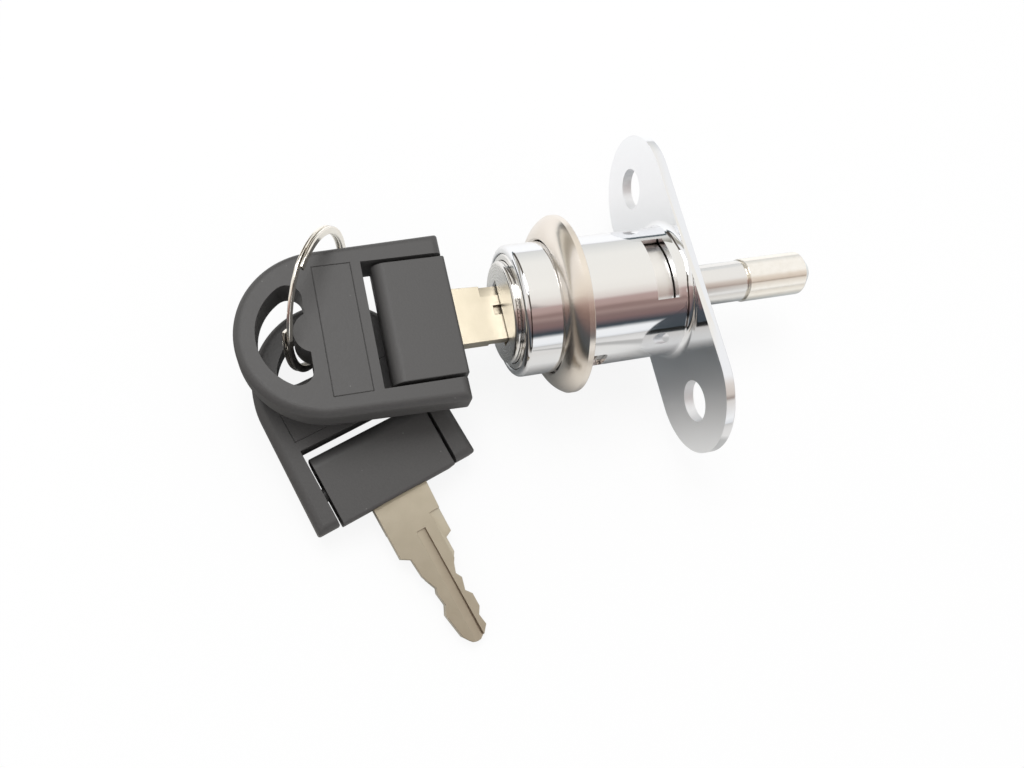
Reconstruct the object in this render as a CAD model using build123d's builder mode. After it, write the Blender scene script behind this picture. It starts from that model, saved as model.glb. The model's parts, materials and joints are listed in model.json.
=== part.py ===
from build123d import *
from math import sqrt
import os

# Push lock for a sliding cabinet door, with two folding keys on a split ring.
# Y runs along the lock: the key end is at -Y, the plunger at +Y. X runs along the fixing plate, Z is up.
# The origin is on the lock's axis, in the face of the plate that lies on the door. Sizes are millimetres.

# Fits
slide_gap = 0.08
end_play = 0.05
loose_gap = 0.15

# Housing: tube, fixing plate and rear wall in one casting
body_radius = 9.5
body_length = 24.4
bore_radius = 8.4
rim_round = 0.8
bore_chamfer = 0.15
plate_length = 50.4
plate_width = 19.5
plate_thickness = 1.5
plate_round = 0.3
plate_root = 1.0
hole_spacing = 35.2
hole_radius = 3.05
rear_wall = 1.9

# Loose trim ring on the housing
ring_gap = 0.1
trim_radius = 12.9
trim_depth = 3.2
trim_band = 0.9
trim_dome = 4.2
trim_lip = 0.3
trim_bevel = 0.35
trim_from_plate = 16.0

# Barrel: the push button that slides in the housing
stroke = 6.0
barrel_chamfer = 0.2
rear_play = 0.3
rear_disc = 1.35
stem_radius = 3.1
stem_reach = 12.6
lug_length = 1.1
lug_height = 4.1
lug_top = 0.6
slot_from_plate = 11.9
slot_corner = 0.5

# Plunger end, screwed into the stem
plunger_radius = 3.3
plunger_reach = 24.2
groove_width = 0.45
groove_depth = 0.25
taper_length = 1.5
taper_depth = 1.6
stud_radius = 1.4
stud_length = 5.0

# Plug: the turning core
plug_radius = 6.1
flange_radius = 7.4
flange_depth = 1.5
face_proud = 1.0
face_round = 0.5
web_thickness = 1.2
journal_radius = 3.0
clip_thickness = 0.5
clip_radius = 4.4
clip_groove = 0.5
clip_room = 0.2
clip_grip = 0.3
land_thickness = 0.4
cam_radius = 1.4
cam_offset = 0.78
cam_end_gap = 0.1
mouth_depth = 1.0
mouth_bevel = 0.25
keyway_gap = 0.1
keyway_spare = 0.5

# Wafers, in a row, sprung to alternate sides
wafer_count = 5
wafer_pitch = 2.2
first_wafer = 5.1
wafer_thickness = 1.0
wafer_half_height = 1.9
ear_height = 1.0
ear_start = 3.4
groove_half_height = 3.0
groove_depth_round_bore = 1.2
wafer_spring_radius = 0.38
wafer_spring_bore = 0.2
wafer_spring_start = -1.4

# Latch and its spring
latch_thickness = 3.0
latch_half_width = 4.5
latch_stem_half = 3.3
latch_shoulder = 1.85
latch_top_sink = 0.2
latch_bottom = 3.6
latch_side_gap = 0.1
latch_spring_radius = 1.2
latch_spring_depth = 3.7
latch_spring_turns = 4
spring_wire = 0.36
spring_sides = 4
well_gap = 0.2

# Return springs, one each side of the latch
return_spring_x = 5.3
return_spring_z = -3.6
return_spring_radius = 1.32
return_well_depth = 6.3
return_spring_turns = 6

# Key: head, block and blade, drawn in a plane of their own with the blade along +Y
head_width = 25.2
head_length = 30.0
head_thickness = 5.0
head_back_radius = 12.1
head_round = 1.1
head_corner = 0.4
opening_width = 18.8
opening_depth = 11.6
block_width = 17.8
block_length = 10.5
block_proud = 0.25
block_round = 0.4
block_back_round = 1.8
pivot_back = 4.8
pivot_radius = 1.0
pivot_reach = 2.7
hole_arc_radius = 8.2
hole_arc_back = 18.9
hole_flat_back = 20.3
hole_corner = 2.0
bump_radius = 3.0
bump_back = 19.2
bump_corner = 0.6
panel_half_width = 9.5
panel_near = 13.0
panel_far = 18.4
panel_line = 0.1
blade_thickness = 2.0
blade_half_width = 3.0
tang_length = 7.0
shoulder_reach = 8.0
blade_reach = 23.4
cut_depth = 0.5
cut_near = -0.9
cut_far = 0.5
cut_start = 6.0
step_half_width = 2.5
step_start = 4.5
key_clearance = 0.05

# The blade's two edges, as (distance from the head, half width), from the block to the tip
plain_edge = [(4.5, 4.1), (8.2, 4.05), (8.7, 3.0), (11.0, 3.0), (12.3, 2.1), (13.7, 1.6), (14.6, 2.1),
              (16.4, 1.6), (17.3, 2.3), (19.3, 2.3), (20.3, 1.65), (21.9, 1.9), (22.9, 1.0)]
wavy_edge = [(8.2, 4.3), (9.0, 3.0), (11.8, 2.8), (14.2, 1.85), (14.9, 2.1), (16.8, 1.85), (18.1, 2.5),
             (21.8, 1.9), (23.1, 1.0)]
edge_start = 4.3
tip_half_width = 0.3

# Second key and split ring, as they lie, measured from the front of the first key's head
key_2_place = (21.47, -11.15, -9.71)
key_2_turn = -71.33
key_2_tilt = -5.43
loop_place = (-6.23, -18.14, -1.19)
loop_normal = (0.463, 0.866, 0.19)
loop_radius = 9.84
loop_width = 1.1
loop_thickness = 0.5
loop_pitch = 0.6
loop_round = 0.12
loop_start = -36
loop_jog = 50
loop_jog_steps = 4

# Places along the axis, worked out from the sizes above
front_y = -body_length
rear_wall_y = plate_thickness - rear_wall
barrel_rear_y = rear_wall_y - rear_play
barrel_radius = bore_radius - slide_gap
latch_rear_y = barrel_rear_y - rear_disc - loose_gap
latch_front_y = latch_rear_y - latch_thickness
latch_middle_y = (latch_rear_y + latch_front_y) / 2
pocket_front_y = latch_front_y - loose_gap
pocket_rear_y = latch_rear_y + loose_gap
land_rear_y = latch_front_y - clip_room
land_front_y = land_rear_y - land_thickness
clip_rear_y = land_front_y - end_play
clip_front_y = clip_rear_y - clip_thickness
web_rear_y = clip_front_y - end_play
web_front_y = web_rear_y - web_thickness
plug_rear_y = web_front_y - end_play
seat_y = front_y + flange_depth
face_y = front_y - face_proud
key_1_y = front_y - shoulder_reach - key_clearance
keyway_end_y = key_1_y + blade_reach + keyway_spare
wafer_places = [front_y + first_wafer + i * wafer_pitch for i in range(wafer_count)]
wafer_sides = [1 if i % 2 else -1 for i in range(wafer_count)]
latch_top = barrel_radius - latch_top_sink + slide_gap
latch_travel = sqrt(2) * cam_offset


def across(y):
    """Plane square to the lock's axis at y, with X to the right and Z up. It faces the key end."""
    return Plane.XZ.offset(-y)


def export(piece, name):
    """Labels a finished piece and writes it."""
    piece.label = name
    export_step(piece, f"parts/{name}.step")


def blade_section(gap):
    """Section of the blade's cut length, grown all round by the gap, on the builder's own plane."""
    half = blade_thickness / 2
    with BuildSketch() as section:
        Rectangle(2 * blade_half_width, blade_thickness)
        for side in (1, -1):
            with Locations((side * (cut_near + cut_far) / 2, side * half)):
                Rectangle(cut_far - cut_near, 2 * cut_depth, mode=Mode.SUBTRACT)
            with Locations((-side * blade_half_width, side * half)):
                Rectangle(2 * (blade_half_width - step_half_width), 2 * cut_depth, mode=Mode.SUBTRACT)
        if gap:
            offset(amount=gap, kind=Kind.INTERSECTION)
    return section.sketch


def edge_width(edge, low, high):
    """Widest half width of a blade edge between two distances from the head."""
    widths = [width for place, width in edge if low < place < high]
    for place in (low, high):
        for (near, wide), (far, wide_far) in zip(edge, edge[1:]):
            if near <= place <= far:
                widths.append(wide + (wide_far - wide) * (place - near) / (far - near))
    return max(widths)


# Housing
with BuildPart() as housing:
    with BuildSketch(across(0)):
        Circle(body_radius)
    extrude(amount=body_length)
    fillet(housing.edges().filter_by(GeomType.CIRCLE).sort_by(Axis.Y)[0], rim_round)
    with BuildSketch(across(plate_thickness)):
        SlotOverall(plate_length, plate_width)
        with Locations((-hole_spacing / 2, 0), (hole_spacing / 2, 0)):
            Circle(hole_radius, mode=Mode.SUBTRACT)
    extrude(amount=plate_thickness)
    fillet(housing.faces().sort_by(Axis.Y)[-1].outer_wire().edges(), plate_round)
    root = housing.edges().filter_by(GeomType.CIRCLE).filter_by(lambda edge: edge.radius == body_radius)
    fillet(root.sort_by(Axis.Y)[-1], plate_root)
    with BuildSketch(across(rear_wall_y)):
        Circle(bore_radius)
    extrude(amount=body_length + rear_wall_y, mode=Mode.SUBTRACT)
    mouth_edge = housing.edges().filter_by(GeomType.CIRCLE).filter_by(lambda edge: edge.radius == bore_radius)
    chamfer(mouth_edge.sort_by(Axis.Y)[0], bore_chamfer)
    with BuildSketch(across(plate_thickness)):
        Circle(stem_radius + slide_gap)
    extrude(amount=rear_wall, mode=Mode.SUBTRACT)
    with BuildSketch(Plane.XY):
        with Locations((0, latch_middle_y)):
            Rectangle(2 * (latch_half_width + latch_side_gap), latch_thickness + 2 * latch_side_gap)
    extrude(amount=2 * body_radius, mode=Mode.SUBTRACT)
    with BuildSketch(Plane.YZ):
        slot_length = lug_length + stroke + 2 * end_play
        with Locations((-slot_from_plate - slot_length / 2, 0)):
            RectangleRounded(slot_length, lug_height + 2 * slide_gap, slot_corner)
    extrude(amount=2 * body_radius, mode=Mode.SUBTRACT)

# Trim ring
with BuildPart() as trim_ring:
    trim_bore = body_radius + ring_gap
    with BuildSketch(Plane.YZ):
        with BuildLine():
            back = -trim_from_plate
            Polyline((back, trim_bore), (back, trim_radius), (back - trim_band, trim_radius))
            RadiusArc((back - trim_band, trim_radius), (back - trim_depth, trim_bore + trim_lip), -trim_dome)
            Polyline(
                (back - trim_depth, trim_bore + trim_lip),
                (back - trim_depth + trim_bevel, trim_bore),
                (back, trim_bore),
            )
        make_face()
    revolve(axis=Axis.Y)

# Barrel
with BuildPart() as barrel:
    with BuildSketch(across(barrel_rear_y)):
        Circle(barrel_radius)
    extrude(amount=barrel_rear_y - front_y)
    chamfer(barrel.edges().filter_by(GeomType.CIRCLE).sort_by(Axis.Y)[0], barrel_chamfer)
    with BuildSketch(across(stem_reach)):
        Circle(stem_radius)
    extrude(amount=stem_reach - barrel_rear_y)
    with BuildSketch(Plane.YZ.offset(stem_radius)):
        with Locations((-slot_from_plate - end_play - lug_length / 2, 0)):
            RectangleRounded(lug_length, lug_height, slot_corner)
    extrude(amount=body_radius - lug_top - stem_radius)
    with BuildSketch(across(seat_y)):
        Circle(flange_radius + ring_gap)
    extrude(amount=flange_depth, mode=Mode.SUBTRACT)
    with BuildSketch(across(web_front_y)):
        Circle(plug_radius + slide_gap)
    extrude(amount=web_front_y - front_y, mode=Mode.SUBTRACT)
    grooves_rear_y = wafer_places[-1] + wafer_thickness
    with BuildSketch(across(grooves_rear_y)):
        Rectangle(2 * (plug_radius + groove_depth_round_bore), 2 * groove_half_height)
        Rectangle(2 * groove_half_height, 2 * (plug_radius + groove_depth_round_bore))
        Circle(plug_radius + slide_gap, mode=Mode.SUBTRACT)
    extrude(amount=grooves_rear_y - seat_y, mode=Mode.SUBTRACT)
    with BuildSketch(across(web_rear_y)):
        Circle(journal_radius + slide_gap)
    extrude(amount=web_thickness, mode=Mode.SUBTRACT)
    with BuildSketch(across(pocket_front_y)):
        Circle(clip_radius + clip_room)
    extrude(amount=pocket_front_y - web_rear_y, mode=Mode.SUBTRACT)
    with BuildSketch(across(pocket_rear_y)):
        head_floor = latch_shoulder - latch_side_gap
        with Locations((0, head_floor + body_radius / 2)):
            Rectangle(2 * (latch_half_width + latch_side_gap), body_radius)
        with Locations((0, (head_floor - latch_bottom - latch_side_gap) / 2)):
            Rectangle(2 * (latch_stem_half + latch_side_gap), head_floor + latch_bottom + latch_side_gap)
    extrude(amount=pocket_rear_y - pocket_front_y, mode=Mode.SUBTRACT)
    with BuildSketch(Plane.XY.offset(-latch_bottom)):
        with Locations((0, latch_middle_y)):
            Circle(latch_spring_radius + well_gap)
    extrude(amount=-latch_spring_depth, mode=Mode.SUBTRACT)
    with BuildSketch(across(barrel_rear_y)):
        with Locations((-return_spring_x, return_spring_z), (return_spring_x, return_spring_z)):
            Circle(return_spring_radius + well_gap)
    extrude(amount=return_well_depth, mode=Mode.SUBTRACT)
    with BuildSketch(across(stem_reach)):
        Circle(stud_radius + slide_gap)
    extrude(amount=stud_length + end_play, mode=Mode.SUBTRACT)

# Plunger end with its stud, groove and taper
with BuildPart() as plunger:
    with BuildSketch(Plane.YZ):
        with BuildLine():
            neck = stem_radius - groove_depth
            Polyline(
                (stem_reach - stud_length, 0),
                (stem_reach - stud_length, stud_radius),
                (stem_reach, stud_radius),
                (stem_reach, neck),
                (stem_reach + groove_width, neck),
                (stem_reach + groove_width, plunger_radius),
                (plunger_reach - taper_length, plunger_radius),
                (plunger_reach, plunger_radius - taper_depth),
                (plunger_reach, 0),
                close=True,
            )
        make_face()
    revolve(axis=Axis.Y)

# Plug with its flange, keyway, wafer slots, journal and eccentric cam
with BuildPart() as plug:
    with BuildSketch(across(plug_rear_y)):
        Circle(plug_radius)
    extrude(amount=plug_rear_y - front_y)
    with BuildSketch(across(seat_y - end_play)):
        Circle(flange_radius)
    extrude(amount=seat_y - end_play - face_y)
    fillet(plug.edges().filter_by(GeomType.CIRCLE).sort_by(Axis.Y)[0], face_round)
    with BuildSketch(across(land_rear_y)):
        Circle(journal_radius)
    extrude(amount=land_rear_y - plug_rear_y)
    with BuildSketch(across(land_front_y)):
        Circle(journal_radius)
        Circle(journal_radius - clip_groove, mode=Mode.SUBTRACT)
    extrude(amount=land_front_y - web_rear_y, mode=Mode.SUBTRACT)
    with BuildSketch(across(latch_rear_y - cam_end_gap)):
        with Locations((-latch_travel / 2, -latch_travel / 2)):
            Circle(cam_radius)
    extrude(amount=latch_rear_y - cam_end_gap - land_rear_y)
    with BuildSketch(across(keyway_end_y)):
        add(blade_section(keyway_gap))
    extrude(amount=keyway_end_y - face_y, mode=Mode.SUBTRACT)
    with BuildSketch(across(front_y + mouth_depth)):
        Rectangle(2 * (edge_start + keyway_gap), blade_thickness + 2 * keyway_gap)
    extrude(amount=mouth_depth + face_proud, mode=Mode.SUBTRACT)
    chamfer(plug.faces().sort_by(Axis.Y)[0].inner_wires().edges(), mouth_bevel)
    for place, side in zip(wafer_places, wafer_sides):
        slot_half = wafer_thickness / 2 + end_play
        with BuildSketch(across(place + slot_half)):
            Rectangle(3 * plug_radius, 2 * (wafer_half_height + ring_gap))
            room = ear_height + ring_gap
            with Locations((side * (wafer_spring_start + plug_radius), side * (wafer_half_height + room / 2))):
                Rectangle(2 * plug_radius, room)
        extrude(amount=2 * slot_half, mode=Mode.SUBTRACT)

# Wafers: flush with the plug while the key is in, and sprung out into the barrel's grooves without it
wafer_travels = []
wafers = []
for place, side in zip(wafer_places, wafer_sides):
    from_head = place - key_1_y
    edge = plain_edge if side > 0 else wavy_edge
    held = edge_width(edge, from_head - wafer_thickness / 2, from_head + wafer_thickness / 2)
    wafer_travels.append(side * round(blade_half_width - held, 2))
    with BuildPart() as wafer:
        with BuildSketch(across(place + wafer_thickness / 2)):
            Rectangle(3 * plug_radius, 2 * wafer_half_height)
            with Locations((side * (ear_start + plug_radius / 2), side * (wafer_half_height + ear_height / 2))):
                Rectangle(plug_radius, ear_height)
            Circle(plug_radius - end_play, mode=Mode.INTERSECT)
            window_gap = loose_gap
            Rectangle(2 * (blade_half_width + window_gap), blade_thickness + 2 * window_gap, mode=Mode.SUBTRACT)
        extrude(amount=wafer_thickness)
    wafers.append(wafer.part)

# Wafer springs, each in the plug beside its wafer and under the wafer's ear
with BuildPart() as wafer_springs:
    for place, side in zip(wafer_places, wafer_sides):
        height = side * (wafer_half_height + (ear_height + ring_gap) / 2)
        with BuildSketch(Plane.YZ.offset(side * wafer_spring_start)):
            with Locations((place, height)):
                Circle(wafer_spring_radius)
                Circle(wafer_spring_bore, mode=Mode.SUBTRACT)
        extrude(amount=side * (ear_start - wafer_spring_start))

# Clip that holds the plug in the barrel
with BuildPart() as plug_clip:
    with BuildSketch(across(clip_rear_y)):
        Circle(clip_radius)
        grip = journal_radius - clip_groove + end_play
        Circle(grip, mode=Mode.SUBTRACT)
        with Locations((0, clip_radius / 2)):
            Rectangle(2 * (grip - end_play - clip_grip), clip_radius, mode=Mode.SUBTRACT)
    extrude(amount=clip_thickness)

# Latch with the window that the cam turns in
with BuildPart() as latch:
    with BuildSketch(across(latch_rear_y)):
        Circle(latch_top)
        with Locations((0, latch_shoulder + latch_top / 2)):
            Rectangle(2 * latch_half_width, latch_top, mode=Mode.INTERSECT)
        with Locations((0, (latch_shoulder - latch_bottom) / 2)):
            Rectangle(2 * latch_stem_half, latch_shoulder + latch_bottom)
        with Locations((0, -latch_travel / 2)):
            cam_room = cam_radius + latch_side_gap
            Rectangle(2 * (cam_offset + cam_room), 2 * cam_room, mode=Mode.SUBTRACT)
    extrude(amount=latch_thickness)


def coil_spring(at, length, radius, turns):
    """Open coil spring that stands on a plane and rises along its normal."""
    run = length - spring_wire
    with BuildPart() as spring:
        with BuildLine() as wound:
            Helix(run / turns, run, radius - spring_wire / 2, center=at.origin, direction=at.z_dir)
        with BuildSketch(Plane(origin=wound.line @ 0, z_dir=wound.line % 0)):
            RegularPolygon(spring_wire / 2, spring_sides)
        sweep()
    return spring.part


latch_spring = coil_spring(
    Plane((0, latch_middle_y, -latch_bottom - latch_spring_depth + spring_wire / 2)),
    latch_spring_depth, latch_spring_radius, latch_spring_turns)
return_springs = []
for side in (-1, 1):
    return_springs.append(coil_spring(
        Plane((side * return_spring_x, rear_wall_y - spring_wire / 2, return_spring_z), z_dir=(0, -1, 0)),
        return_well_depth + rear_play, return_spring_radius, return_spring_turns))


def key_head(at):
    """Plastic frame of the folding head, with the ring hole and the fine line round its panel."""
    half = head_thickness / 2
    with BuildPart() as head:
        with BuildSketch(at):
            with BuildLine():
                Line((-head_width / 2, 0), (head_width / 2, 0))
                CenterArc((0, head_back_radius - head_length), head_back_radius, 180, 180)
            make_hull()
        extrude(amount=half, both=True)
        fillet(head.faces().filter_by(at).edges(), head_round)
        upright = head.edges().filter_by(Axis(at.origin, at.z_dir)).sort_by(Axis(at.origin, at.y_dir))
        fillet(upright[-2:], head_corner)
        with BuildSketch(at.offset(-half)):
            Rectangle(opening_width, 2 * opening_depth)
        extrude(amount=head_thickness, mode=Mode.SUBTRACT)
        with BuildSketch(at.offset(-half)) as loop_hole:
            with Locations((0, -hole_arc_back)):
                Circle(hole_arc_radius)
            with Locations((0, -hole_flat_back + hole_arc_radius)):
                Rectangle(2 * head_width, 2 * hole_arc_radius, mode=Mode.SUBTRACT)
            with Locations((0, -bump_back)):
                Circle(bump_radius, mode=Mode.SUBTRACT)
            corners = loop_hole.vertices().sort_by(Axis.X)
            fillet([corners[0], corners[-1]], hole_corner)
        extrude(amount=head_thickness, mode=Mode.SUBTRACT)
        for side in (1, -1):
            with BuildSketch(at.offset(side * half)):
                with Locations((0, -(panel_near + panel_far) / 2)):
                    Rectangle(2 * panel_half_width, panel_far - panel_near)
                    offset(amount=-panel_line, mode=Mode.SUBTRACT)
            extrude(amount=-side * panel_line, mode=Mode.SUBTRACT)
        across_key = Plane(at.from_local_coords((0, -pivot_back, 0)), x_dir=at.y_dir, z_dir=at.x_dir)
        with BuildSketch(across_key):
            Circle(pivot_radius + slide_gap)
        extrude(amount=block_width / 2 + pivot_reach + end_play, both=True, mode=Mode.SUBTRACT)
    return head.part


def key_block(at):
    """Plastic block that grips the blade and folds in the head on its two stub axles."""
    with BuildPart() as block:
        with BuildSketch(at):
            with Locations((0, block_proud - block_length / 2)):
                Rectangle(block_width, block_length)
        extrude(amount=head_thickness / 2, both=True)
        along = block.edges().filter_by(Axis(at.origin, at.x_dir)).sort_by(Axis(at.origin, at.y_dir))
        fillet(along[2:], block_round)
        along = block.edges().filter_by(Axis(at.origin, at.x_dir)).sort_by(Axis(at.origin, at.y_dir))
        fillet(along[:2], block_back_round)
        across_key = Plane(at.from_local_coords((0, -pivot_back, 0)), x_dir=at.y_dir, z_dir=at.x_dir)
        with BuildSketch(across_key):
            Circle(pivot_radius)
        extrude(amount=block_width / 2 + pivot_reach, both=True)
        with BuildSketch(at):
            with Locations((0, block_proud - (tang_length + end_play) / 2)):
                Rectangle(2 * (blade_half_width + end_play), tang_length + end_play)
        extrude(amount=blade_thickness / 2 + end_play, both=True, mode=Mode.SUBTRACT)
    return block.part


def key_blade(at):
    """Flat blade with its shoulder, the cuts on both edges, the long grooves and the thinned edge."""
    half = blade_thickness / 2
    with BuildPart() as blade:
        with BuildSketch(at):
            with BuildLine():
                left = [(-width, place) for place, width in plain_edge]
                right = [(width, place) for place, width in reversed(wavy_edge)]
                Polyline(
                    (-edge_start, block_proud), *left, (-tip_half_width, blade_reach),
                    (tip_half_width, blade_reach), *right, (edge_start, block_proud),
                    (blade_half_width, block_proud), (blade_half_width, block_proud - tang_length),
                    (-blade_half_width, block_proud - tang_length), (-blade_half_width, block_proud),
                    close=True)
            make_face()
        extrude(amount=half, both=True)
        for side in (1, -1):
            with BuildSketch(at.offset(side * half)):
                with Locations((side * (cut_near + cut_far) / 2, (cut_start + blade_reach + 1) / 2)):
                    Rectangle(cut_far - cut_near, blade_reach + 1 - cut_start)
                outside = -side * (step_half_width + edge_start) / 2
                with Locations((outside, (step_start + blade_reach + 1) / 2)):
                    Rectangle(edge_start - step_half_width, blade_reach + 1 - step_start)
            extrude(amount=-side * cut_depth, mode=Mode.SUBTRACT)
    return blade.part


def loop_section():
    """Section of the split ring's flat wire, with its corners broken, in the sketch in hand."""
    section = Rectangle(loop_width, loop_thickness)
    chamfer(section.vertices(), loop_round)


# Where the first key lies
key_1_front = Vector(0, key_1_y, 0)

# Split ring: two flat turns of springy wire, joined by a short step from one to the other
with BuildPart() as split_ring:
    loop_plane = Plane(Vector(loop_place) + key_1_front, z_dir=loop_normal)

    def wire_plane(degrees, level):
        """Plane across the wire at an angle round the ring, with its X pointing outwards."""
        outward = loop_plane.x_dir.rotate(Axis((0, 0, 0), loop_plane.z_dir), loop_start + degrees)
        along = loop_plane.z_dir.cross(outward)
        centre = loop_plane.origin + outward * loop_radius + loop_plane.z_dir * level
        return Plane(centre, x_dir=outward, z_dir=along)

    for level in (-loop_pitch / 2, loop_pitch / 2):
        with BuildSketch(wire_plane(0, level)):
            loop_section()
        revolve(axis=Axis(loop_plane.origin, loop_plane.z_dir), revolution_arc=360 - loop_jog)
    for i in range(loop_jog_steps + 1):
        share = i / loop_jog_steps
        with BuildSketch(wire_plane(share * loop_jog - loop_jog, (share - 0.5) * loop_pitch)):
            loop_section()
    loft(ruled=True)

# Where each key lies
key_2_x = Vector(1, 0, 0).rotate(Axis.Z, key_2_turn)
key_2_z = Vector(0, 0, 1).rotate(Axis.X, key_2_tilt).rotate(Axis.Z, key_2_turn)
key_planes = {
    "key_1": Plane(key_1_front),
    "key_2": Plane(Vector(key_2_place) + key_1_front, x_dir=key_2_x, z_dir=key_2_z),
}

os.makedirs("parts", exist_ok=True)
export(housing.part, "housing")
export(trim_ring.part, "trim_ring")
export(barrel.part, "barrel")
export(plunger.part, "plunger")
export(plug.part, "plug")
export(plug_clip.part, "plug_clip")
export(latch.part, "latch")
export(latch_spring, "latch_spring")
export(return_springs[0], "return_spring_left")
export(return_springs[1], "return_spring_right")
for i, piece in enumerate(wafers):
    export(piece, f"wafer_{i + 1}")
export(wafer_springs.part, "wafer_springs")
for name, at in key_planes.items():
    export(key_head(at), f"{name}_head")
    export(key_block(at), f"{name}_block")
    export(key_blade(at), f"{name}_blade")
export(split_ring.part, "split_ring")

print("wafer travels", wafer_travels)
print("latch travel", round(latch_travel, 3))
print("key 1 head end at y", round(key_1_y, 3))
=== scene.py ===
import json
from math import hypot, pi, radians

import bmesh
import bpy
from mathutils import Matrix, Vector

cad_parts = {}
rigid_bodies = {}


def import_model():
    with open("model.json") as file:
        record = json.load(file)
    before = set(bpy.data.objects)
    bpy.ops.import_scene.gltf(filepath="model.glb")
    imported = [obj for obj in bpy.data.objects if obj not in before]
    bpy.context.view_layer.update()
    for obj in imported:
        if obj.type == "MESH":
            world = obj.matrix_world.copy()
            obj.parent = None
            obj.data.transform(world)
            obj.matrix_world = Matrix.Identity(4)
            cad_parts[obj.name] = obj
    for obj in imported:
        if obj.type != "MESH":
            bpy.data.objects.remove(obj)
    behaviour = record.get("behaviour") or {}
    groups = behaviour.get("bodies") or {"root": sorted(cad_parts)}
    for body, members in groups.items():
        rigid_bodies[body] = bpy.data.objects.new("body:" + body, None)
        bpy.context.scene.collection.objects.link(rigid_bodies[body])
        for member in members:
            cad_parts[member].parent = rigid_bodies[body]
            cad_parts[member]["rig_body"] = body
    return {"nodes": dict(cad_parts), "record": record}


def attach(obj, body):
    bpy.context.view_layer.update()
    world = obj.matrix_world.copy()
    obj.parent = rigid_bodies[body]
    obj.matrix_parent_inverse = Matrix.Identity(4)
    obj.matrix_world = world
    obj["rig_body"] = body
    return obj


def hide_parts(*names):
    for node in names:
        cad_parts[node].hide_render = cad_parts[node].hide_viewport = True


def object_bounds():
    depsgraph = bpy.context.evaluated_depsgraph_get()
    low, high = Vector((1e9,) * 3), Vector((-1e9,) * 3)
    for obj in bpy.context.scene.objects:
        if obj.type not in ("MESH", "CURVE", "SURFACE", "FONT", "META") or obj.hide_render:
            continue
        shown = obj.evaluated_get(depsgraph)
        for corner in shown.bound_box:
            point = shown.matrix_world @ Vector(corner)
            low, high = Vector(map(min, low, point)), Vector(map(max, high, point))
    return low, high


bl_info = {
    "name": "Push Lock with Folding Keys",
    "version": (1, 0, 0),
    "blender": (4, 5, 0),
    "location": "View3D > Sidebar > Push Lock",
    "description": "Dresses a sliding-door push lock, its two folding keys and their split ring",
    "category": "Object",
}

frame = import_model()
CAD_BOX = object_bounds()
MM = 0.001

# A corner of the CAD mesh closer than this to another is the same corner
MERGE_DISTANCE = 0.002 * MM
FLAT_ANGLE = radians(0.5)
SHARP_ANGLE = radians(30)
# A flat face larger than this is a plane of the real piece, and no strip of a curved wall
PLANE_AREA = 60 * MM * MM
# A face is a wall along the lock's axis where its normal has less than this part along it
WALL_NORMAL = 0.5
# A face lies square to the lock's axis where its normal has more than this part along it
SQUARE_NORMAL = 0.99

# How wide the features of each surface are, in millimetres
CASTING_RIPPLE = 4.0
PLATING_HAZE = 1.1
TORN_METAL = 0.5
SATIN_CLOUD = 5.0
STEEL_WEAR = 0.9
SILVER_CLOUD = 2.5
WIRE_WEAR = 0.4
BRASS_CLOUD = 0.8
# These are finer on the real pieces, and are drawn this coarse so that they show: the lathe's rings on
# the barrel and on the plug's face, the pepper of the tumbled blades and the spark texture of the mould
BARREL_RINGS = 0.2
FACE_RINGS = 0.45
TUMBLED_PEPPER = 0.28
SPARK_GRAIN = 0.3
# Dust on the black plastic: the spacing of the specks, and the radii to which a speck is full and ends
DUST_SPACING = 2.4
SPECK_FULL = 0.06
SPECK_END = 0.096

# Blender's wave texture repeats after this length at a scale of 1
WAVE_LENGTH = pi / 10

WHITE = "#FFFFFF"


def linear(hex_colour):
    """An sRGB hex colour as linear RGBA."""
    parts = [int(hex_colour[i:i + 2], 16) / 255 for i in (1, 3, 5)]
    return [c / 12.92 if c <= 0.04045 else ((c + 0.055) / 1.055) ** 2.4 for c in parts] + [1.0]


def per(size):
    """Scale of a noise or cell pattern whose features are this many millimetres across."""
    return 1 / (size * MM)


def add_node(owner, kind, settings=(), inputs=(), stops=(), to=()):
    """Adds a node with its settings and links.

    An input goes by its name or number, and is a value, a socket, or a node, whose first output is linked.
    Stops are a colour ramp's places and hex colours. The sockets in `to` take the new node's first output.
    """
    tree = owner.node_tree
    made = tree.nodes.new(kind)
    for name, value in dict(settings).items():
        setattr(made, name, value)
    for key, value in dict(inputs).items():
        if isinstance(value, bpy.types.Node):
            value = value.outputs[0]
        if isinstance(value, bpy.types.NodeSocket):
            tree.links.new(value, made.inputs[key])
        else:
            made.inputs[key].default_value = value
    for i, (place, colour) in enumerate(stops):
        elements = made.color_ramp.elements
        element = elements[i] if i < 2 else elements.new(place)
        element.position = place
        element.color = linear(colour)
    for socket in to:
        tree.links.new(made.outputs[0], socket)
    return made


def tones_along(owner, value, stops, unit=1.0):
    """Colours that change along a value. The stops are places along it, in this unit, and hex colours."""
    first, last = stops[0][0], stops[-1][0]
    way = add_node(owner, "ShaderNodeMapRange",
                   inputs={"Value": value, "From Min": first * unit, "From Max": last * unit})
    return add_node(owner, "ShaderNodeValToRGB", inputs={"Fac": way},
                    stops=[((at - first) / (last - first), colour) for at, colour in stops])


def new_material(name, inputs=()):
    """An empty node material, its shader with these inputs, and its Object coordinates."""
    material = bpy.data.materials.new(name)
    material.use_nodes = True
    material.node_tree.nodes.clear()
    output = add_node(material, "ShaderNodeOutputMaterial")
    shader = add_node(material, "ShaderNodeBsdfPrincipled", inputs=inputs, to=[output.inputs["Surface"]])
    place = add_node(material, "ShaderNodeTexCoord").outputs["Object"]
    return material, shader, place


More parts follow.
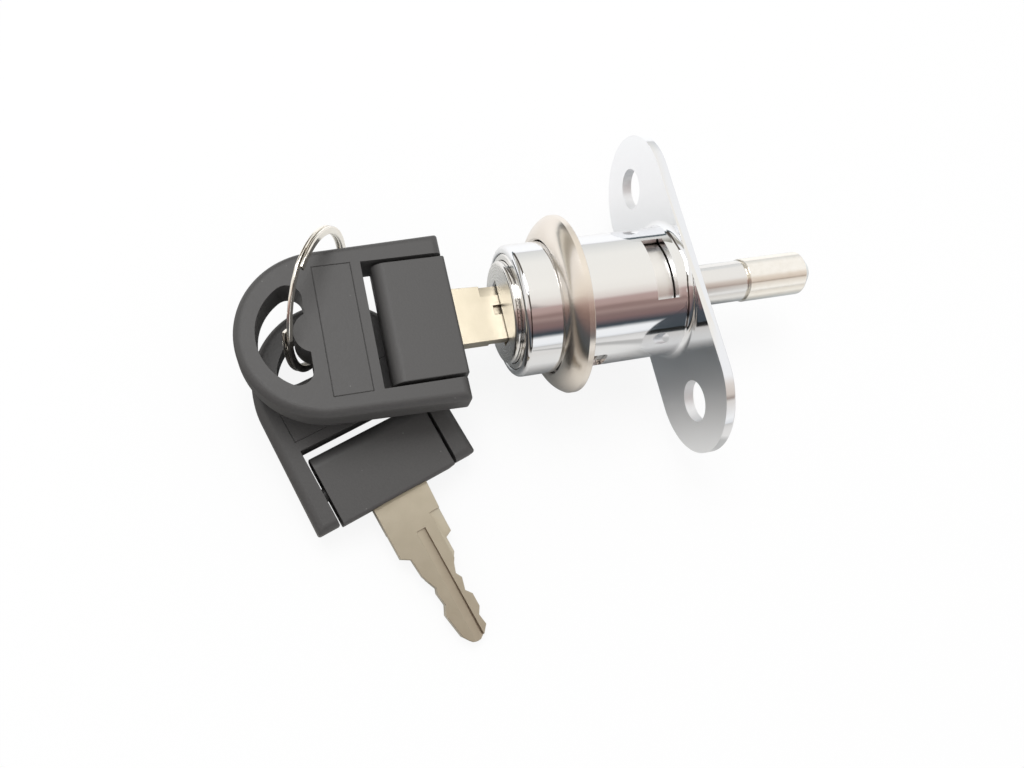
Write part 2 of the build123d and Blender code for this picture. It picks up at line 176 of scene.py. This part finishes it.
class LockSizes(bpy.types.PropertyGroup):
    """Sizes that a user of the add-on would change."""
    edge: bpy.props.FloatProperty(
        name="Metal edge", description="Width of the broken edges of the metal", default=0.12 * MM,
        precision=5, subtype="DISTANCE", unit="LENGTH")
    plastic_edge: bpy.props.FloatProperty(
        name="Plastic edge", description="Width of the soft edges of the moulded keys",
        default=0.25 * MM, precision=5, subtype="DISTANCE", unit="LENGTH")
    floor: bpy.props.FloatProperty(
        name="Floor", description="Width of the floor", default=4.0, subtype="DISTANCE", unit="LENGTH")


class LockColours(bpy.types.PropertyGroup):
    """Colours of the finishes."""
    chrome: bpy.props.FloatVectorProperty(
        name="Chrome", description="Plating of the housing", size=4, subtype="COLOR",
        min=0.0, max=1.0, default=linear("#EDEEF0"))
    bright_nickel: bpy.props.FloatVectorProperty(
        name="Bright nickel", description="Plating of the barrel, plug and latch", size=4, subtype="COLOR",
        min=0.0, max=1.0, default=linear("#E8E6E3"))
    satin_nickel: bpy.props.FloatVectorProperty(
        name="Satin nickel", description="Plating of the trim ring", size=4, subtype="COLOR",
        min=0.0, max=1.0, default=linear("#EDE6DD"))
    nickel_steel: bpy.props.FloatVectorProperty(
        name="Nickel-plated steel", description="Plating of the plunger and split ring",
        size=4, subtype="COLOR", min=0.0, max=1.0, default=linear("#FCF8F1"))
    blade: bpy.props.FloatVectorProperty(
        name="Nickel silver", description="Key blades", size=4, subtype="COLOR",
        min=0.0, max=1.0, default=linear("#C2BAA9"))
    plastic: bpy.props.FloatVectorProperty(
        name="Black ABS", description="Key heads and blocks", size=4, subtype="COLOR",
        min=0.0, max=1.0, default=linear("#4E4D4C"))
    steel: bpy.props.FloatVectorProperty(
        name="Spring steel", description="Springs and clip", size=4, subtype="COLOR",
        min=0.0, max=1.0, default=linear("#8E8D8B"))
    brass: bpy.props.FloatVectorProperty(
        name="Brass", description="Wafers", size=4, subtype="COLOR",
        min=0.0, max=1.0, default=linear("#C9A65C"))


def chrome_plate():
    """Chrome plate on a die casting: a mirror, with the casting's faint ripple and a breath of haze."""
    material, shader, place = new_material("Chrome plate on die-cast zinc", {
        "Base Color": bpy.context.scene.lock_colours.chrome, "Metallic": 1.0})
    ripple = add_node(material, "ShaderNodeTexNoise",
                      inputs={"Vector": place, "Scale": per(CASTING_RIPPLE), "Detail": 2.0})
    add_node(material, "ShaderNodeBump", to=[shader.inputs["Normal"]],
             inputs={"Strength": 0.05, "Distance": 0.2 * MM, "Height": ripple})
    haze = add_node(material, "ShaderNodeTexNoise",
                    inputs={"Vector": place, "Scale": per(PLATING_HAZE), "Detail": 4.0})
    add_node(material, "ShaderNodeMapRange", to=[shader.inputs["Roughness"]],
             inputs={"Value": haze, "To Min": 0.03, "To Max": 0.10})
    return material


def punched_wall():
    """Torn wall of a punched hole under the chrome: rough, so it only glows where the faces mirror."""
    material, shader, place = new_material("Chrome plate in a punched hole", {
        "Base Color": bpy.context.scene.lock_colours.chrome, "Metallic": 1.0})
    tears = add_node(material, "ShaderNodeTexNoise",
                     inputs={"Vector": place, "Scale": per(TORN_METAL), "Detail": 3.0})
    add_node(material, "ShaderNodeBump", to=[shader.inputs["Normal"]],
             inputs={"Strength": 0.3, "Distance": 0.05 * MM, "Height": tears})
    add_node(material, "ShaderNodeMapRange", to=[shader.inputs["Roughness"]],
             inputs={"Value": tears, "To Min": 0.50, "To Max": 0.65})
    return material


def bright_nickel():
    """Bright nickel on turned zinc: nearly a mirror, softened by the fine rings that the lathe left."""
    material, shader, place = new_material("Bright nickel on turned zinc", {
        "Base Color": bpy.context.scene.lock_colours.bright_nickel, "Metallic": 1.0})
    rings = add_node(material, "ShaderNodeTexWave",
                     settings={"wave_type": "RINGS", "rings_direction": "Y"},
                     inputs={"Vector": place, "Scale": WAVE_LENGTH * per(BARREL_RINGS),
                             "Distortion": 0.4, "Detail": 2.0})
    add_node(material, "ShaderNodeBump", to=[shader.inputs["Normal"]],
             inputs={"Strength": 0.08, "Distance": 0.03 * MM, "Height": rings.outputs["Fac"]})
    add_node(material, "ShaderNodeMapRange", to=[shader.inputs["Roughness"]],
             inputs={"Value": rings.outputs["Fac"], "To Min": 0.10, "To Max": 0.20})
    return material


def turned_nickel():
    """Nickel on the plug's turned face and the latch: coarser rings blur it, so nothing mirrors in it."""
    material, shader, place = new_material("Nickel on a turned face", {
        "Base Color": bpy.context.scene.lock_colours.bright_nickel, "Metallic": 1.0})
    rings = add_node(material, "ShaderNodeTexWave",
                     settings={"wave_type": "RINGS", "rings_direction": "Y"},
                     inputs={"Vector": place, "Scale": WAVE_LENGTH * per(FACE_RINGS),
                             "Distortion": 0.6, "Detail": 2.0})
    add_node(material, "ShaderNodeBump", to=[shader.inputs["Normal"]],
             inputs={"Strength": 0.25, "Distance": 0.05 * MM, "Height": rings.outputs["Fac"]})
    add_node(material, "ShaderNodeMapRange", to=[shader.inputs["Roughness"]],
             inputs={"Value": rings.outputs["Fac"], "To Min": 0.26, "To Max": 0.38})
    return material


def satin_nickel():
    """Satin nickel plate: smooth and warm, with a soft shine and no clear mirror image."""
    material, shader, place = new_material("Satin nickel plate", {"Metallic": 1.0})
    cloud = add_node(material, "ShaderNodeTexNoise",
                     inputs={"Vector": place, "Scale": per(SATIN_CLOUD), "Detail": 3.0})
    nickel = bpy.context.scene.lock_colours.satin_nickel
    add_node(material, "ShaderNodeMixRGB", to=[shader.inputs["Base Color"]],
             inputs={"Fac": cloud, "Color1": linear("#E0D7CD"), "Color2": nickel})
    add_node(material, "ShaderNodeMapRange", to=[shader.inputs["Roughness"]],
             inputs={"Value": cloud, "To Min": 0.18, "To Max": 0.23})
    return material


def nickel_steel():
    """Nickel-plated steel of the plunger and the split ring: bright, a little warm and lightly worn."""
    material, shader, place = new_material("Nickel-plated steel", {"Metallic": 1.0})
    wear = add_node(material, "ShaderNodeTexNoise",
                    inputs={"Vector": place, "Scale": per(STEEL_WEAR), "Detail": 4.0})
    nickel = bpy.context.scene.lock_colours.nickel_steel
    add_node(material, "ShaderNodeMixRGB", to=[shader.inputs["Base Color"]],
             inputs={"Fac": wear, "Color1": linear("#F0EADF"), "Color2": nickel})
    add_node(material, "ShaderNodeMapRange", to=[shader.inputs["Roughness"]],
             inputs={"Value": wear, "To Min": 0.08, "To Max": 0.20})
    add_node(material, "ShaderNodeBump", to=[shader.inputs["Normal"]],
             inputs={"Strength": 0.06, "Distance": 0.05 * MM, "Height": wear})
    return material


def nickel_silver():
    """Stamped nickel silver, tumbled: pale and warm, finely peppered, with a blurred shine."""
    material, shader, place = new_material("Stamped nickel silver", {"Metallic": 1.0})
    cloud = add_node(material, "ShaderNodeTexNoise",
                     inputs={"Vector": place, "Scale": per(SILVER_CLOUD), "Detail": 4.0})
    blade = bpy.context.scene.lock_colours.blade
    add_node(material, "ShaderNodeMixRGB", to=[shader.inputs["Base Color"]],
             inputs={"Fac": cloud, "Color1": linear("#B2AA98"), "Color2": blade})
    pepper = add_node(material, "ShaderNodeTexNoise",
                      inputs={"Vector": place, "Scale": per(TUMBLED_PEPPER), "Detail": 3.0})
    add_node(material, "ShaderNodeMapRange", to=[shader.inputs["Roughness"]],
             inputs={"Value": pepper, "To Min": 0.26, "To Max": 0.40})
    add_node(material, "ShaderNodeBump", to=[shader.inputs["Normal"]],
             inputs={"Strength": 0.12, "Distance": 0.04 * MM, "Height": pepper})
    return material


def black_abs():
    """Moulded black ABS, spark textured: a fine grain that greys it, and a few faint specks of dust."""
    material, shader, place = new_material("Black ABS, spark textured")
    grain = add_node(material, "ShaderNodeTexNoise",
                     inputs={"Vector": place, "Scale": per(SPARK_GRAIN), "Detail": 3.0})
    plastic = bpy.context.scene.lock_colours.plastic
    base = add_node(material, "ShaderNodeMixRGB",
                    inputs={"Fac": grain, "Color1": linear("#424141"), "Color2": plastic})
    specks = add_node(material, "ShaderNodeTexVoronoi",
                      inputs={"Vector": place, "Scale": per(DUST_SPACING)})
    dust = add_node(material, "ShaderNodeMapRange",
                    inputs={"Value": specks, "From Min": SPECK_FULL / DUST_SPACING,
                            "From Max": SPECK_END / DUST_SPACING, "To Min": 0.3, "To Max": 0.0})
    add_node(material, "ShaderNodeMixRGB", to=[shader.inputs["Base Color"]],
             inputs={"Fac": dust, "Color1": base, "Color2": linear("#A8A8A6")})
    add_node(material, "ShaderNodeMapRange", to=[shader.inputs["Roughness"]],
             inputs={"Value": grain, "To Min": 0.40, "To Max": 0.60})
    add_node(material, "ShaderNodeBump", to=[shader.inputs["Normal"]],
             inputs={"Strength": 0.3, "Distance": 0.06 * MM, "Height": grain})
    return material


def spring_steel():
    """Drawn spring steel: grey, with a shine that is uneven where the die rubbed it."""
    material, shader, place = new_material("Drawn spring steel", {"Metallic": 1.0})
    wear = add_node(material, "ShaderNodeTexNoise",
                    inputs={"Vector": place, "Scale": per(WIRE_WEAR), "Detail": 3.0})
    steel = bpy.context.scene.lock_colours.steel
    add_node(material, "ShaderNodeMixRGB", to=[shader.inputs["Base Color"]],
             inputs={"Fac": wear, "Color1": linear("#7E7D7B"), "Color2": steel})
    add_node(material, "ShaderNodeMapRange", to=[shader.inputs["Roughness"]],
             inputs={"Value": wear, "To Min": 0.20, "To Max": 0.38})
    return material


def stamped_brass():
    """Stamped brass, a little dulled by handling."""
    material, shader, place = new_material("Stamped brass", {"Metallic": 1.0})
    cloud = add_node(material, "ShaderNodeTexNoise",
                     inputs={"Vector": place, "Scale": per(BRASS_CLOUD), "Detail": 3.0})
    brass = bpy.context.scene.lock_colours.brass
    add_node(material, "ShaderNodeMixRGB", to=[shader.inputs["Base Color"]],
             inputs={"Fac": cloud, "Color1": linear("#B08D48"), "Color2": brass})
    add_node(material, "ShaderNodeMapRange", to=[shader.inputs["Roughness"]],
             inputs={"Value": cloud, "To Min": 0.25, "To Max": 0.40})
    return material


# Which finish each of the record's material slots takes
FINISHES = {
    "chrome_plate": chrome_plate,
    "satin_nickel": satin_nickel,
    "plated_zinc": bright_nickel,
    "spring_steel": spring_steel,
    "polished_steel": nickel_steel,
    "wafer_brass": stamped_brass,
    "black_plastic": black_abs,
    "nickel_silver": nickel_silver,
}
# The finishes made so far, by the function that makes each
made_finishes = {}


def finish(maker):
    """The material of a finish, made once."""
    if maker not in made_finishes:
        made_finishes[maker] = maker()
    return made_finishes[maker]


def slot_of(node):
    """The record's material slot of a CAD node."""
    return next(part["material_slot"] for part in frame["record"]["subparts"] if part["node"] == node)


def mount_sizes(name):
    """The record's sizes of a mount, in millimetres."""
    return next(mount["dims"] for mount in frame["record"]["mounts"] if mount["name"] == name)


def paint(node):
    """Puts the finish of its slot on a CAD node that shows as it is."""
    materials = frame["nodes"][node].data.materials
    materials.clear()
    materials.append(finish(FINISHES[slot_of(node)]))


def eased_copy(node, width, maker=None):
    """A piece for a CAD node: its solid merged, its flats made whole and every sharp edge broken.

    It takes the finish of its slot, or the one given.
    """
    bm = bmesh.new()
    bm.from_mesh(frame["nodes"][node].data)
    bmesh.ops.remove_doubles(bm, verts=bm.verts, dist=MERGE_DISTANCE)
    bmesh.ops.dissolve_limit(bm, angle_limit=FLAT_ANGLE, verts=bm.verts, edges=bm.edges)
    mesh = bpy.data.meshes.new(f"{node}_piece")
    bm.to_mesh(mesh)
    bm.free()
    piece = bpy.data.objects.new(f"{node}_piece", mesh)
    bpy.context.scene.collection.objects.link(piece)
    mesh.shade_smooth()
    mesh.set_sharp_from_angle(angle=SHARP_ANGLE)
    # The rim of a plane is sharp all round, so that the shading of a curve beside it can't bend it
    planes = [face for face in mesh.polygons if face.area > PLANE_AREA]
    for corner in (i for face in planes for i in face.loop_indices):
        mesh.edges[mesh.loops[corner].edge_index].use_edge_sharp = True
    bevel = piece.modifiers.new("Broken edges", "BEVEL")
    bevel.width = width
    bevel.segments = 2
    bevel.limit_method = "ANGLE"
    bevel.angle_limit = SHARP_ANGLE
    bevel.harden_normals = True
    mesh.materials.append(finish(maker or FINISHES[slot_of(node)]))
    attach(piece, frame["nodes"][node]["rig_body"])
    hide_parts(node)
    return piece


class PUSH_LOCK_OT_housing(bpy.types.Operator):
    """Finishes the housing with its tube and fixing plate"""
    bl_idname = "push_lock.housing"
    bl_label = "Housing"

    def execute(self, context):
        edge = context.scene.lock_sizes.edge
        piece = eased_copy("housing", edge)
        piece.data.materials.append(finish(punched_wall))
        holes = mount_sizes("fixing_holes")
        for face in piece.data.polygons:
            from_hole = hypot(abs(face.center.x) - holes["spacing_x_mm"] / 2 * MM, face.center.z)
            is_wall = abs(face.normal.y) < WALL_NORMAL
            if is_wall and from_hole < holes["hole_r_mm"] * MM + edge:
                face.material_index = 1
        return {"FINISHED"}


class PUSH_LOCK_OT_trim_ring(bpy.types.Operator):
    """Finishes the loose domed ring"""
    bl_idname = "push_lock.trim_ring"
    bl_label = "Trim Ring"

    def execute(self, context):
        eased_copy("trim_ring", context.scene.lock_sizes.edge)
        return {"FINISHED"}


class PUSH_LOCK_OT_barrel(bpy.types.Operator):
    """Finishes the barrel, its plug, its latch and the plunger"""
    bl_idname = "push_lock.barrel"
    bl_label = "Barrel, Plug and Plunger"

    def execute(self, context):
        edge = context.scene.lock_sizes.edge
        eased_copy("barrel", edge)
        eased_copy("latch", edge, turned_nickel)
        plug = eased_copy("plug", edge)
        plug.data.materials.append(finish(turned_nickel))
        for face in plug.data.polygons:
            if face.normal.y < -SQUARE_NORMAL:
                face.material_index = 1
        eased_copy("plunger", edge, nickel_steel)
        return {"FINISHED"}


class PUSH_LOCK_OT_inner_works(bpy.types.Operator):
    """Finishes the wafers, springs and clip inside"""
    bl_idname = "push_lock.inner_works"
    bl_label = "Inner Works"

    def execute(self, context):
        for node in frame["nodes"]:
            if slot_of(node) in ("spring_steel", "wafer_brass"):
                paint(node)
        return {"FINISHED"}


class PUSH_LOCK_OT_keys(bpy.types.Operator):
    """Finishes the heads, blocks and blades of both keys"""
    bl_idname = "push_lock.keys"
    bl_label = "Keys"

    def execute(self, context):
        sizes = context.scene.lock_sizes
        for key in ("key_1", "key_2"):
            eased_copy(f"{key}_head", sizes.plastic_edge)
            eased_copy(f"{key}_block", sizes.plastic_edge)
            eased_copy(f"{key}_blade", sizes.edge)
        return {"FINISHED"}


class PUSH_LOCK_OT_split_ring(bpy.types.Operator):
    """Finishes the split ring"""
    bl_idname = "push_lock.split_ring"
    bl_label = "Split Ring"

    def execute(self, context):
        eased_copy("split_ring", context.scene.lock_sizes.edge)
        return {"FINISHED"}


class PUSH_LOCK_OT_stage(bpy.types.Operator):
    """Sets up the floor, the studio light and the camera"""
    bl_idname = "push_lock.stage"
    bl_label = "Stage"

    def execute(self, context):
        scene = context.scene
        scene.view_settings.view_transform = "Standard"
        lowest = CAD_BOX[0][2]
        bm = bmesh.new()
        bmesh.ops.create_grid(bm, x_segments=1, y_segments=1, size=scene.lock_sizes.floor / 2)
        bmesh.ops.translate(bm, verts=bm.verts, vec=(0, 0, lowest))
        mesh = bpy.data.meshes.new("floor")
        bm.to_mesh(mesh)
        bm.free()
        floor = bpy.data.objects.new("floor", mesh)
        scene.collection.objects.link(floor)
        mesh.materials.append(paper_sweep())
        studio_world(scene)
        soft_box(scene)
        place_camera(scene)
        return {"FINISHED"}


# Painted shade on the paper, seen only in the metal, by millimetres along the fixing plate and along the
# lock: darker beside the tube and plate, where their shadow falls, just behind the plate and far out past
# the keys
PAINTED_SHADE_ACROSS = [(-24, "#FFFFFF"), (-12, "#EDF0F1"), (0, "#C6CBCF"), (8, "#BCC1C4"), (16, "#CFCFCE"),
                (26, "#F0F0EE"), (60, "#E8E6E3")]
PAINTED_SHADE_ALONG = [(-120, "#918981"), (-72, "#AAA39C"), (-48, "#F2F0ED"), (4, "#FAF9F8"), (9, "#CDCDCD"),
               (15, "#CFCFCF"), (22, "#FFFFFF")]
# Across these millimetres along the plate, towards the lamp, that painted shade fades to white
LAMP_SIDE = (-15, -45)
# Far out to both sides, past the lock's front, the paper as the metal mirrors it is painted dark, a
# painted reflection of a dark room
PAINTED_DARK_ROOM = [(-230, "#5C676B"), (-170, "#FFFFFF"), (90, "#FFFFFF"), (125, "#5A6165")]
# Across these millimetres along the lock, towards the keys, that painted dark room comes in
KEY_END = (-25, -45)
# The paper's own tone, and how much of what the camera sees of it is plain white
PAPER_TONE = "#F4F4F4"
PAPER_GLOW = 0.88


def paper_sweep():
    """White paper: close to white for the camera, with the object's shadow, and in the metal dimmer, with
    painted shade and a painted dark room.
    """
    material, shader, place = new_material("White paper sweep", {
        "Roughness": 0.9, "Specular IOR Level": 0.0})
    rays = add_node(material, "ShaderNodeLightPath")
    parts = add_node(material, "ShaderNodeSeparateXYZ", inputs={"Vector": place})
    across, along = parts.outputs["X"], parts.outputs["Y"]
    # Painted shade on the paper, which only the metal's reflections show
    painted_shade = add_node(material, "ShaderNodeMixRGB", settings={"blend_type": "MULTIPLY"},
                     inputs={"Fac": 1.0, "Color1": tones_along(material, across, PAINTED_SHADE_ACROSS, MM),
                             "Color2": tones_along(material, along, PAINTED_SHADE_ALONG, MM)})
    lamp_side = add_node(material, "ShaderNodeMapRange",
                         inputs={"Value": across,
                                 "From Min": LAMP_SIDE[0] * MM, "From Max": LAMP_SIDE[1] * MM})
    whitened = add_node(material, "ShaderNodeMixRGB",
                        inputs={"Fac": lamp_side, "Color1": painted_shade, "Color2": linear(WHITE)})
    key_end = add_node(material, "ShaderNodeMapRange",
                       inputs={"Value": along, "From Min": KEY_END[0] * MM, "From Max": KEY_END[1] * MM})
    # Painted reflection of a dark room far out on the paper, seen only in the metal
    mirrored = add_node(material, "ShaderNodeMixRGB", settings={"blend_type": "MULTIPLY"},
                        inputs={"Fac": key_end, "Color1": whitened,
                                "Color2": tones_along(material, across, PAINTED_DARK_ROOM, MM)})
    add_node(material, "ShaderNodeMixRGB", to=[shader.inputs["Base Color"]],
             inputs={"Fac": rays.outputs["Is Glossy Ray"],
                     "Color1": linear(PAPER_TONE), "Color2": mirrored})
    glow = add_node(material, "ShaderNodeEmission", inputs={"Color": linear(WHITE), "Strength": 1.0})
    share = add_node(material, "ShaderNodeMath", settings={"operation": "MULTIPLY"},
                     inputs={0: rays.outputs["Is Camera Ray"], 1: PAPER_GLOW})
    output = next(node for node in material.node_tree.nodes if node.type == "OUTPUT_MATERIAL")
    add_node(material, "ShaderNodeMixShader", inputs={"Fac": share, 1: shader, 2: glow},
             to=[output.inputs["Surface"]])
    return material


# What stands round the lock in its bright metal, by degrees from straight up towards +X: the white
# tent, the warm wall, the dark gap and the bright strip along the lock's far side
TENT = [
    (-180, "#A9B1B7"), (-95, "#E3E3E0"), (-60, "#FEFBF4"), (-10, "#FFFBF3"), (4, "#FBF6EE"),
    (12, "#F0E8E0"), (18, "#E6DAD3"), (22, "#BFA6A0"), (31, "#B99F98"), (37, "#957C76"), (43, "#A68E88"),
    (49, "#8C7571"), (56, "#866E6C"), (62, "#6C5F62"), (67, "#474B50"), (70, "#475058"), (76, "#FFFFFF"),
    (86, "#FDFEFF"), (93, "#D6D8D9"), (108, "#A4ADB5"), (180, "#A9B1B7"),
]
# Seen further along the lock the tent is open, so its dark gap doesn't show
OPEN_TENT = [
    (-180, "#B4BBC0"), (-95, "#D6DADD"), (-60, "#FFFFFF"), (5, "#FFFFFF"), (20, "#E9E1DA"),
    (38, "#D9CEC5"), (44, "#A3968F"), (49, "#E6E1DC"), (80, "#FFFFFF"), (105, "#C6CCD1"),
    (180, "#B4BBC0"),
]
# Seen back along the lock, past the keys, the tent is dimmer to both sides
NEAR_TENT = [
    (-180, "#A9B1B7"), (-95, "#F6F7F5"), (-85, "#F4F1EA"), (-73, "#A8A499"), (-58, "#B4AFA5"),
    (-48, "#FFFFFF"), (4, "#FBF6EE"), (18, "#E6DAD3"), (22, "#BFA6A0"), (37, "#957C76"), (62, "#6C5F62"),
    (67, "#50545A"), (92, "#4A5257"), (108, "#A4ADB5"), (180, "#A9B1B7"),
]
# By the direction's part along the lock: where the open tent takes over, where the near one does, and a
# grey band right round the tent
OPEN_FROM = (0.44, 0.50)
NEAR_FROM = (-0.30, -0.38)
GREY_BAND = [(-0.36, "#FFFFFF"), (-0.22, "#59524D"), (0.06, "#59524D"), (0.17, "#FFFFFF")]
# Strength of the world's even light
WORLD_LIGHT = 0.75


def studio_world(scene):
    """White studio that lights the lock evenly, and whose tent shows in the metal."""
    world = bpy.data.worlds.new("Studio")
    scene.world = world
    world.use_nodes = True
    world.node_tree.nodes.clear()
    rays = add_node(world, "ShaderNodeLightPath")
    direction = add_node(world, "ShaderNodeTexCoord").outputs["Generated"]
    parts = add_node(world, "ShaderNodeSeparateXYZ", inputs={"Vector": direction})
    along = parts.outputs["Y"]
    angle = add_node(world, "ShaderNodeMath", settings={"operation": "ARCTAN2"},
                     inputs={0: parts.outputs["X"], 1: parts.outputs["Z"]})
    level = tones_along(world, angle, TENT, radians(1))
    far = tones_along(world, angle, OPEN_TENT, radians(1))
    near = tones_along(world, angle, NEAR_TENT, radians(1))
    ahead = add_node(world, "ShaderNodeMapRange",
                     inputs={"Value": along, "From Min": OPEN_FROM[0], "From Max": OPEN_FROM[1]})
    behind = add_node(world, "ShaderNodeMapRange",
                      inputs={"Value": along, "From Min": NEAR_FROM[0], "From Max": NEAR_FROM[1]})
    opened = add_node(world, "ShaderNodeMixRGB", inputs={"Fac": ahead, "Color1": level, "Color2": far})
    tent = add_node(world, "ShaderNodeMixRGB", inputs={"Fac": behind, "Color1": opened, "Color2": near})
    shown = add_node(world, "ShaderNodeMixRGB", settings={"blend_type": "MULTIPLY"},
                     inputs={"Fac": 1.0, "Color1": tent, "Color2": tones_along(world, along, GREY_BAND)})
    light = add_node(world, "ShaderNodeBackground",
                     inputs={"Color": linear(WHITE), "Strength": WORLD_LIGHT})
    mirrored = add_node(world, "ShaderNodeBackground", inputs={"Color": shown, "Strength": 1.0})
    backdrop = add_node(world, "ShaderNodeBackground", inputs={"Color": linear(WHITE), "Strength": 1.0})
    lit = add_node(world, "ShaderNodeMixShader",
                   inputs={"Fac": rays.outputs["Is Glossy Ray"], 1: light, 2: mirrored})
    seen = add_node(world, "ShaderNodeMixShader",
                    inputs={"Fac": rays.outputs["Is Camera Ray"], 1: lit, 2: backdrop})
    add_node(world, "ShaderNodeOutputWorld", inputs={"Surface": seen})


# The soft box: its width in metres, its power in watts, its place and the point that it shines at
LAMP_WIDTH = 0.32
LAMP_POWER = 1.55
LAMP_AT = (-0.22, -0.09, 0.55)
LAMP_TARGET = (0, -0.03, 0)


def soft_box(scene):
    """One large soft lamp above the key end, on the side away from the camera."""
    data = bpy.data.lights.new("Soft box", "AREA")
    data.shape = "SQUARE"
    data.size = LAMP_WIDTH
    data.energy = LAMP_POWER
    lamp = bpy.data.objects.new("Soft box", data)
    lamp.location = LAMP_AT
    lamp.rotation_euler = (Vector(LAMP_TARGET) - lamp.location).to_track_quat("-Z", "Y").to_euler()
    scene.collection.objects.link(lamp)


# The photograph's viewpoint in millimetres, and which way the camera's right side and its back point
CAMERA_AT = (42.1, -56.4, 104.4)
CAMERA_RIGHT = (0.2126, 0.9628, 0.1667)
CAMERA_BACK = (0.2587, -0.22, 0.9406)
# Its sensor and lens in millimetres, and the framing's shift in widths of the picture
CAMERA_SENSOR = 36.0
CAMERA_LENS = 28.37
CAMERA_SHIFT = (0.0354, 0.0236)
# Nothing nearer to the camera than this is drawn, in millimetres
CAMERA_CLIP = 5


def place_camera(scene):
    """Camera at the photograph's viewpoint, steeply above the key end."""
    data = bpy.data.cameras.new("Camera")
    data.sensor_width = CAMERA_SENSOR
    data.lens = CAMERA_LENS
    data.shift_x, data.shift_y = CAMERA_SHIFT
    data.clip_start = CAMERA_CLIP * MM
    camera = bpy.data.objects.new("Camera", data)
    right = Vector(CAMERA_RIGHT).normalized()
    back = Vector(CAMERA_BACK)
    # Made square to the right side
    back = (back - right * back.dot(right)).normalized()
    up = back.cross(right)
    turn = Matrix((right, up, back)).transposed().to_4x4()
    camera.matrix_world = Matrix.Translation(Vector(CAMERA_AT) * MM) @ turn
    scene.collection.objects.link(camera)
    scene.camera = camera


OPERATORS = (PUSH_LOCK_OT_housing, PUSH_LOCK_OT_trim_ring, PUSH_LOCK_OT_barrel, PUSH_LOCK_OT_inner_works,
             PUSH_LOCK_OT_keys, PUSH_LOCK_OT_split_ring, PUSH_LOCK_OT_stage)


class PUSH_LOCK_PT_panel(bpy.types.Panel):
    """Lists the sizes, the colours and the pieces in the 3D view's sidebar"""
    bl_idname = "PUSH_LOCK_PT_panel"
    bl_label = "Push Lock"
    bl_space_type = "VIEW_3D"
    bl_region_type = "UI"
    bl_category = "Push Lock"

    def draw(self, context):
        for size in LockSizes.__annotations__:
            self.layout.prop(context.scene.lock_sizes, size)
        for colour in LockColours.__annotations__:
            self.layout.prop(context.scene.lock_colours, colour)
        for operator in OPERATORS:
            self.layout.operator(operator.bl_idname)


CLASSES = (LockSizes, LockColours, *OPERATORS, PUSH_LOCK_PT_panel)


def register():
    for cls in CLASSES:
        bpy.utils.register_class(cls)
    bpy.types.Scene.lock_sizes = bpy.props.PointerProperty(type=LockSizes)
    bpy.types.Scene.lock_colours = bpy.props.PointerProperty(type=LockColours)


def unregister():
    del bpy.types.Scene.lock_colours
    del bpy.types.Scene.lock_sizes
    for cls in reversed(CLASSES):
        bpy.utils.unregister_class(cls)


def main():
    register()
    bpy.ops.push_lock.housing()
    bpy.ops.push_lock.trim_ring()
    bpy.ops.push_lock.barrel()
    bpy.ops.push_lock.inner_works()
    bpy.ops.push_lock.keys()
    bpy.ops.push_lock.split_ring()
    bpy.ops.push_lock.stage()


if __name__ == "__main__":
    main()
